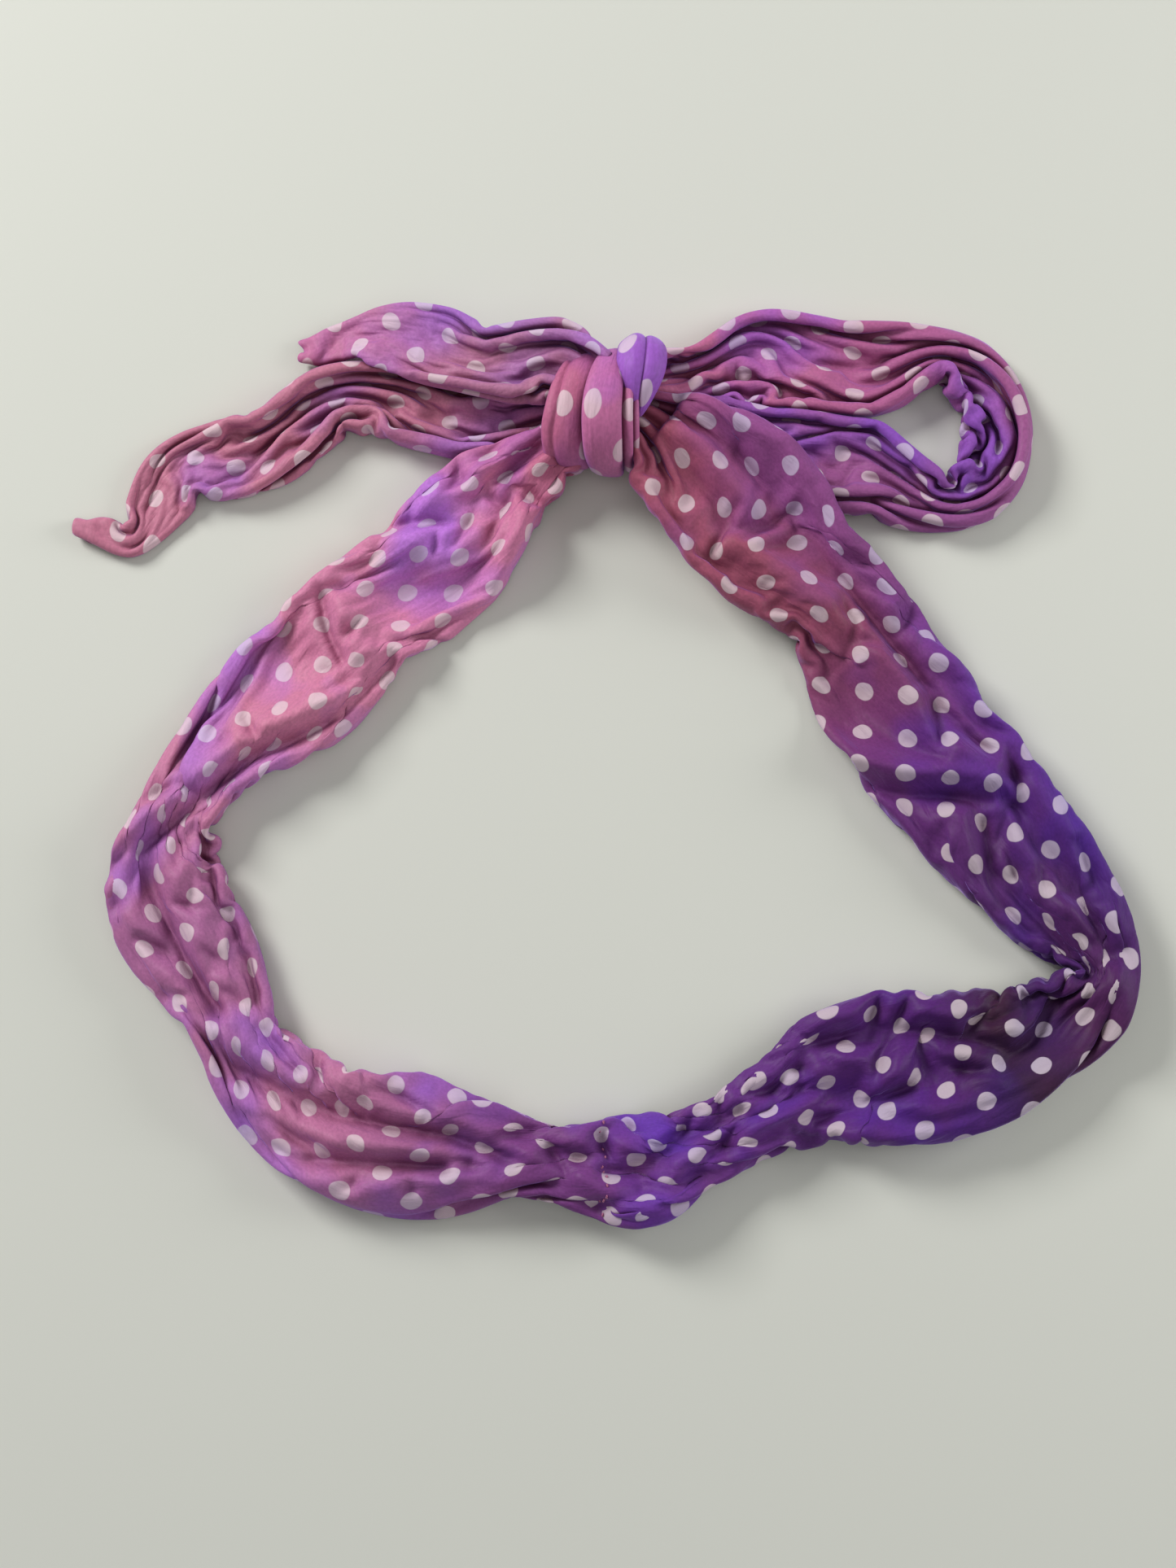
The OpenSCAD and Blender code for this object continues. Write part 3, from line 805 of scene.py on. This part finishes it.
    wave = {"Scale": 1.0 / (0.45 * MM) / 20, "Distortion": 0.4, "Detail": 1.0}
    warp = n.add("ShaderNodeTexWave", {"Vector": cloth, **wave}, bands_direction="X")[1]
    weft = n.add("ShaderNodeTexWave", {"Vector": cloth, **wave}, bands_direction="Y")[1]
    weave = n.math("MULTIPLY", n.math("ADD", warp, weft), 0.00002)
    lengthwise = n.add("ShaderNodeMapping", {"Vector": cloth, "Scale": (110, 330, 0)})[0]
    fine = n.add("ShaderNodeTexNoise", {
        "Vector": lengthwise, "Scale": 1.0, "Detail": 3.0, "Roughness": 0.55,
        "Distortion": 0.6})[0]
    sharp = n.add("ShaderNodeMapping", {"Vector": cloth, "Scale": (34, 95, 0),
                                        "Rotation": (0, 0, 0.25)})[0]
    sharp = n.add("ShaderNodeTexNoise", {
        "Vector": sharp, "Scale": 1.0, "Detail": 2.0, "Roughness": 0.5, "Distortion": 0.9},
        noise_type="RIDGED_MULTIFRACTAL")[0]
    small = n.math("ADD", n.math("MULTIPLY", fine, 0.0006), n.math("MULTIPLY", sharp, 0.0003))
    print_step = n.math("MULTIPLY", spot, 0.00003)
    height = n.math("ADD", n.math("ADD", weave, small), print_step)
    bump = n.add("ShaderNodeBump", {"Height": height, "Distance": 1.0, "Strength": 0.8})[0]
    n.link(bump, "Normal")
    n.shader.inputs["Sheen Weight"].default_value = 0.5
    n.shader.inputs["Sheen Roughness"].default_value = 0.4
    n.shader.inputs["Sheen Tint"].default_value = linear(190, 150, 255)
    n.shader.inputs["Specular IOR Level"].default_value = 0.28
    return n.material


def thread_material(name):
    n = Nodes(name)
    twist = n.add("ShaderNodeTexCoord")["Object"]
    ply = n.add("ShaderNodeTexWave", {"Vector": twist, "Scale": 900.0, "Distortion": 0.5},
                bands_direction="DIAGONAL")[1]
    n.link(n.mix(ply, linear(150, 74, 112), linear(190, 108, 150)), "Base Color")
    height = n.math("MULTIPLY", ply, 0.00004)
    n.link(n.add("ShaderNodeBump", {"Height": height, "Distance": 1.0})[0], "Normal")
    n.shader.inputs["Roughness"].default_value = 0.55
    n.shader.inputs["Sheen Weight"].default_value = 0.3
    return n.material


def floor_material():
    n = Nodes("floor_paint")
    n.shader.inputs["Base Color"].default_value = linear(226, 228, 219)
    n.shader.inputs["Roughness"].default_value = 0.9
    n.shader.inputs["Specular IOR Level"].default_value = 0.1
    return n.material


# ---------------------------------------------------------------------------
# Meshes
# ---------------------------------------------------------------------------
def softened(grid, share=0.2):
    """The grid with each inner point moved a share of the way to its neighbours' middle."""
    g = grid.copy()
    middle = (grid[:-2, 1:-1] + grid[2:, 1:-1] + grid[1:-1, :-2] + grid[1:-1, 2:]) / 4
    g[1:-1, 1:-1] += share * (middle - grid[1:-1, 1:-1])
    return g


def cloth_object(strand, material, u_start):
    """A closed, thin mesh of the cloth, with its flat place as the map Cloth, in metres.
    The cloth begins u_start millimetres along the run of TONES_AND_PAINTED_LIGHT."""
    rows, columns = strand.rows, strand.columns
    points = softened(strand.grid).reshape(-1, 3) * MM
    index = np.arange(rows * columns).reshape(rows, columns)
    faces = np.stack([index[:-1, :-1], index[1:, :-1], index[1:, 1:], index[:-1, 1:]], -1)
    mesh = bpy.data.meshes.new(strand.name)
    mesh.from_pydata(points.tolist(), [], faces.reshape(-1, 4).tolist())
    layer = mesh.uv_layers.new(name="Cloth")
    u = (u_start + np.arange(rows) * strand.row_step) * MM
    v = (np.arange(columns)[None, :] - (columns - 1) / 2) * strand.cell_w[:, None] * MM
    place = np.stack([np.repeat(u[:, None], columns, 1), v], -1).reshape(-1, 2)
    corner = np.empty(len(mesh.loops), int)
    mesh.loops.foreach_get("vertex_index", corner)
    layer.data.foreach_set("uv", place[corner].astype(np.float32).ravel())
    obj = bpy.data.objects.new(strand.name, mesh)
    bpy.context.collection.objects.link(obj)
    mesh.materials.append(material)
    thick = obj.modifiers.new("thick", "SOLIDIFY")
    thick.thickness = CLOTH_T * MM
    thick.offset = 0
    fine = obj.modifiers.new("fine", "SUBSURF")
    fine.levels = fine.render_levels = 1
    bpy.context.view_layer.update()
    made = bpy.data.meshes.new_from_object(
        obj.evaluated_get(bpy.context.evaluated_depsgraph_get()))
    obj.modifiers.clear()
    obj.data = made
    made.name = strand.name
    made.polygons.foreach_set("use_smooth", np.ones(len(made.polygons), bool))
    return obj


def tail_taper(start, end_share):
    """The strip's width along a tail, as a share: whole until start, then down to its point."""
    def shape(t):
        fall = np.clip((t - start) / (1 - start), 0, 1)
        return 1 - (1 - end_share) * fall**0.9
    return shape


strands = {
    "ring": flat_strand("ring_band", 11, RING, RING_EDGES, 1.09, crumples=CRUMPLES),
    "loop": flat_strand("bow_loop_cloth", 23, LOOP, LOOP_EDGES, 1.09),
    "tail_long": flat_strand("tail_long_cloth", 37, TAIL_LONG, TAIL_LONG_EDGES, 1.08,
                             taper=tail_taper(0.58, 0.06)),
    "tail_short": flat_strand("tail_short_cloth", 41, TAIL_SHORT, TAIL_SHORT_EDGES, 1.05,
                              taper=tail_taper(0.20, 0.07)),
}
# The rows that the knot holds, at each strand's start and end.
for name, first, last in (("ring", 10, 10), ("loop", 8, 8), ("tail_long", 9, 0),
                          ("tail_short", 9, 0)):
    strand = strands[name]
    strand.pinned[:first] = True
    strand.pinned[strand.rows - last:] = True
knot_strands = {
    "wrap": knot_strand("knot_wrap_cloth", 53, WRAP, WRAP_FOLDS),
    "collar": knot_strand("knot_collar_cloth", 59, COLLAR, COLLAR_FOLDS),
    "tuck": knot_strand("knot_tuck_cloth", 61, TUCK, TUCK_FOLDS),
}

for i, strand in enumerate(strands.values()):
    strand.roll_up(lane=200.0 * i)
gather_rounds, rest_rounds, lay_rounds = ((200, 30, 110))
settle(list(strands.values()), gather_rounds + rest_rounds, gather=gather_rounds, fall=0.003)
for strand in strands.values():
    strand.lay_on_route()
settle(list(strands.values()), lay_rounds, fall=0.002, hold=0.002,
       roofs=field(CRESTS, 1.05, 1),
       gutters=field(CREASES + small_creases(strands["ring"], SMALL_CREASES), 1.6, -1))

cloth = cloth_material("dotted_cloth_print")
ring = cloth_object(strands["ring"], cloth, 0)
loop = cloth_object(strands["loop"], cloth, 625)
tail_long = cloth_object(strands["tail_long"], cloth, 925)
tail_short = cloth_object(strands["tail_short"], cloth, 1080)
wrap = cloth_object(knot_strands["wrap"], cloth, 1183)
collar = cloth_object(knot_strands["collar"], cloth, 1301)
tuck = cloth_object(knot_strands["tuck"], cloth, 1404)


def seam_stitches(strand, seam_row):
    """Short stitches along one row of the cloth, on its upper side."""
    grid = strand.grid
    mesh = bpy.data.meshes.new("seam_stitches")
    verts, faces = [], []
    line = grid[seam_row]
    along = unit(grid[seam_row + 1] - grid[seam_row - 1])
    sides = 8
    # A stitch's rounds: share of its length, radius, and how far it dips into the cloth.
    rounds = ((0, 0.05, 0.25), (0.15, 0.2, 0.08), (0.5, 0.24, 0), (0.85, 0.2, 0.08),
              (1, 0.05, 0.25))
    for i in range(4, strand.columns - 5, 2):
        a, b = line[i], line[i + 1]
        run = b - a
        normal = unit(np.cross(run, along[i]))
        if normal[2] < 0.2:
            normal = -normal
        if normal[2] < 0.35 or a[2] < 4:
            continue
        lift = normal * (CLOTH_T / 2 + 0.1)
        a, b = a + lift + run * 0.1, b + lift - run * 0.15
        d = unit(b - a)
        e = unit(np.cross(d, normal))
        f = np.cross(e, d)
        first = len(verts)
        for share, r, drop in rounds:
            middle = a + (b - a) * share - normal * drop
            for k in range(sides):
                angle = 2 * math.pi * k / sides
                verts.append((middle + r * (math.cos(angle) * e + math.sin(angle) * f)) * MM)
        for n in range(len(rounds) - 1):
            for k in range(sides):
                p = first + n * sides + k
                q = first + n * sides + (k + 1) % sides
                faces.append((p, q, q + sides, p + sides))
        faces.append(tuple(first + k for k in range(sides))[::-1])
        faces.append(tuple(first + (len(rounds) - 1) * sides + k for k in range(sides)))
    mesh.from_pydata([tuple(v) for v in verts], [], faces)
    obj = bpy.data.objects.new("seam_stitches", mesh)
    bpy.context.collection.objects.link(obj)
    mesh.polygons.foreach_set("use_smooth", np.ones(len(mesh.polygons), bool))
    mesh.materials.append(thread_material("seam_thread"))
    return obj


seam_row = int(np.argmin(np.linalg.norm(
    strands["ring"].centre[:, :2] - np.array([-1, -86.5]), axis=1)))
stitches = seam_stitches(strands["ring"], seam_row)

# ---------------------------------------------------------------------------
# What each piece rides on, and what it stands for
# ---------------------------------------------------------------------------
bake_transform(ring)
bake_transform(loop)
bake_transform(tail_long)
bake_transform(tail_short)
for piece in (wrap, collar, tuck):
    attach(piece, "knot")
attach(stitches, "front_half")

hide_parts(*[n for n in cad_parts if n.startswith("ring_")])
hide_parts(*[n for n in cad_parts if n.startswith("loop_")])
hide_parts(*[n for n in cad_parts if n.startswith("tail_long_")])
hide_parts(*[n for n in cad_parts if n.startswith("tail_short_")])
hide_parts("knot_wrap", "knot_core")
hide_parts("knot_collar")
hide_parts("knot_tuck")
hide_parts("seam_front")


# ---------------------------------------------------------------------------
# Floor, lights and camera
# ---------------------------------------------------------------------------
bpy.ops.mesh.primitive_plane_add(size=6, location=(0, 0, -0.0002))
floor = bpy.context.object
floor.name = "floor"
floor.data.materials.append(floor_material())


def area_light(name, location, target, size, energy, colour):
    data = bpy.data.lights.new(name, "AREA")
    data.size, data.energy, data.color = size, energy, colour
    obj = bpy.data.objects.new(name, data)
    bpy.context.collection.objects.link(obj)
    obj.location = location
    aim(obj, target)
    return obj


def aim(obj, target):
    direction = Vector(target) - obj.location
    obj.rotation_euler = direction.to_track_quat("-Z", "Y").to_euler()


area_light("key", (-0.72, 0.62, 0.60), (0, 0, 0), 0.4, 9.6, (1.0, 0.99, 0.98))
area_light("fill", (0.62, 0.12, 0.28), (0.05, 0, 0.01), 0.35, 1.7, (1.0, 1.0, 1.0))
area_light("top", (0.1, -0.3, 1.1), (0, 0, 0), 1.0, 1.6, (1.0, 1.0, 1.0))
world = bpy.data.worlds.new("studio")
world.use_nodes = True
world.node_tree.nodes["Background"].inputs[0].default_value = (0.9, 0.9, 0.9, 1)
world.node_tree.nodes["Background"].inputs[1].default_value = 0.22
bpy.context.scene.world = world
bpy.context.scene.view_settings.view_transform = "Standard"

frame_h = 0.338                       # height of the picture at the table
target = (-0.0018, -0.0054, 0.004)
elevation = math.radians(82)
lens = 48.0
distance = frame_h / 36.0 * lens
camera_data = bpy.data.cameras.new("camera")
camera_data.lens = lens
camera_data.sensor_fit = "AUTO"
camera_data.sensor_width = 36.0
camera = bpy.data.objects.new("camera", camera_data)
bpy.context.collection.objects.link(camera)
camera.location = (target[0], target[1] - distance * math.cos(elevation),
                   target[2] + distance * math.sin(elevation))
aim(camera, target)
bpy.context.scene.camera = camera
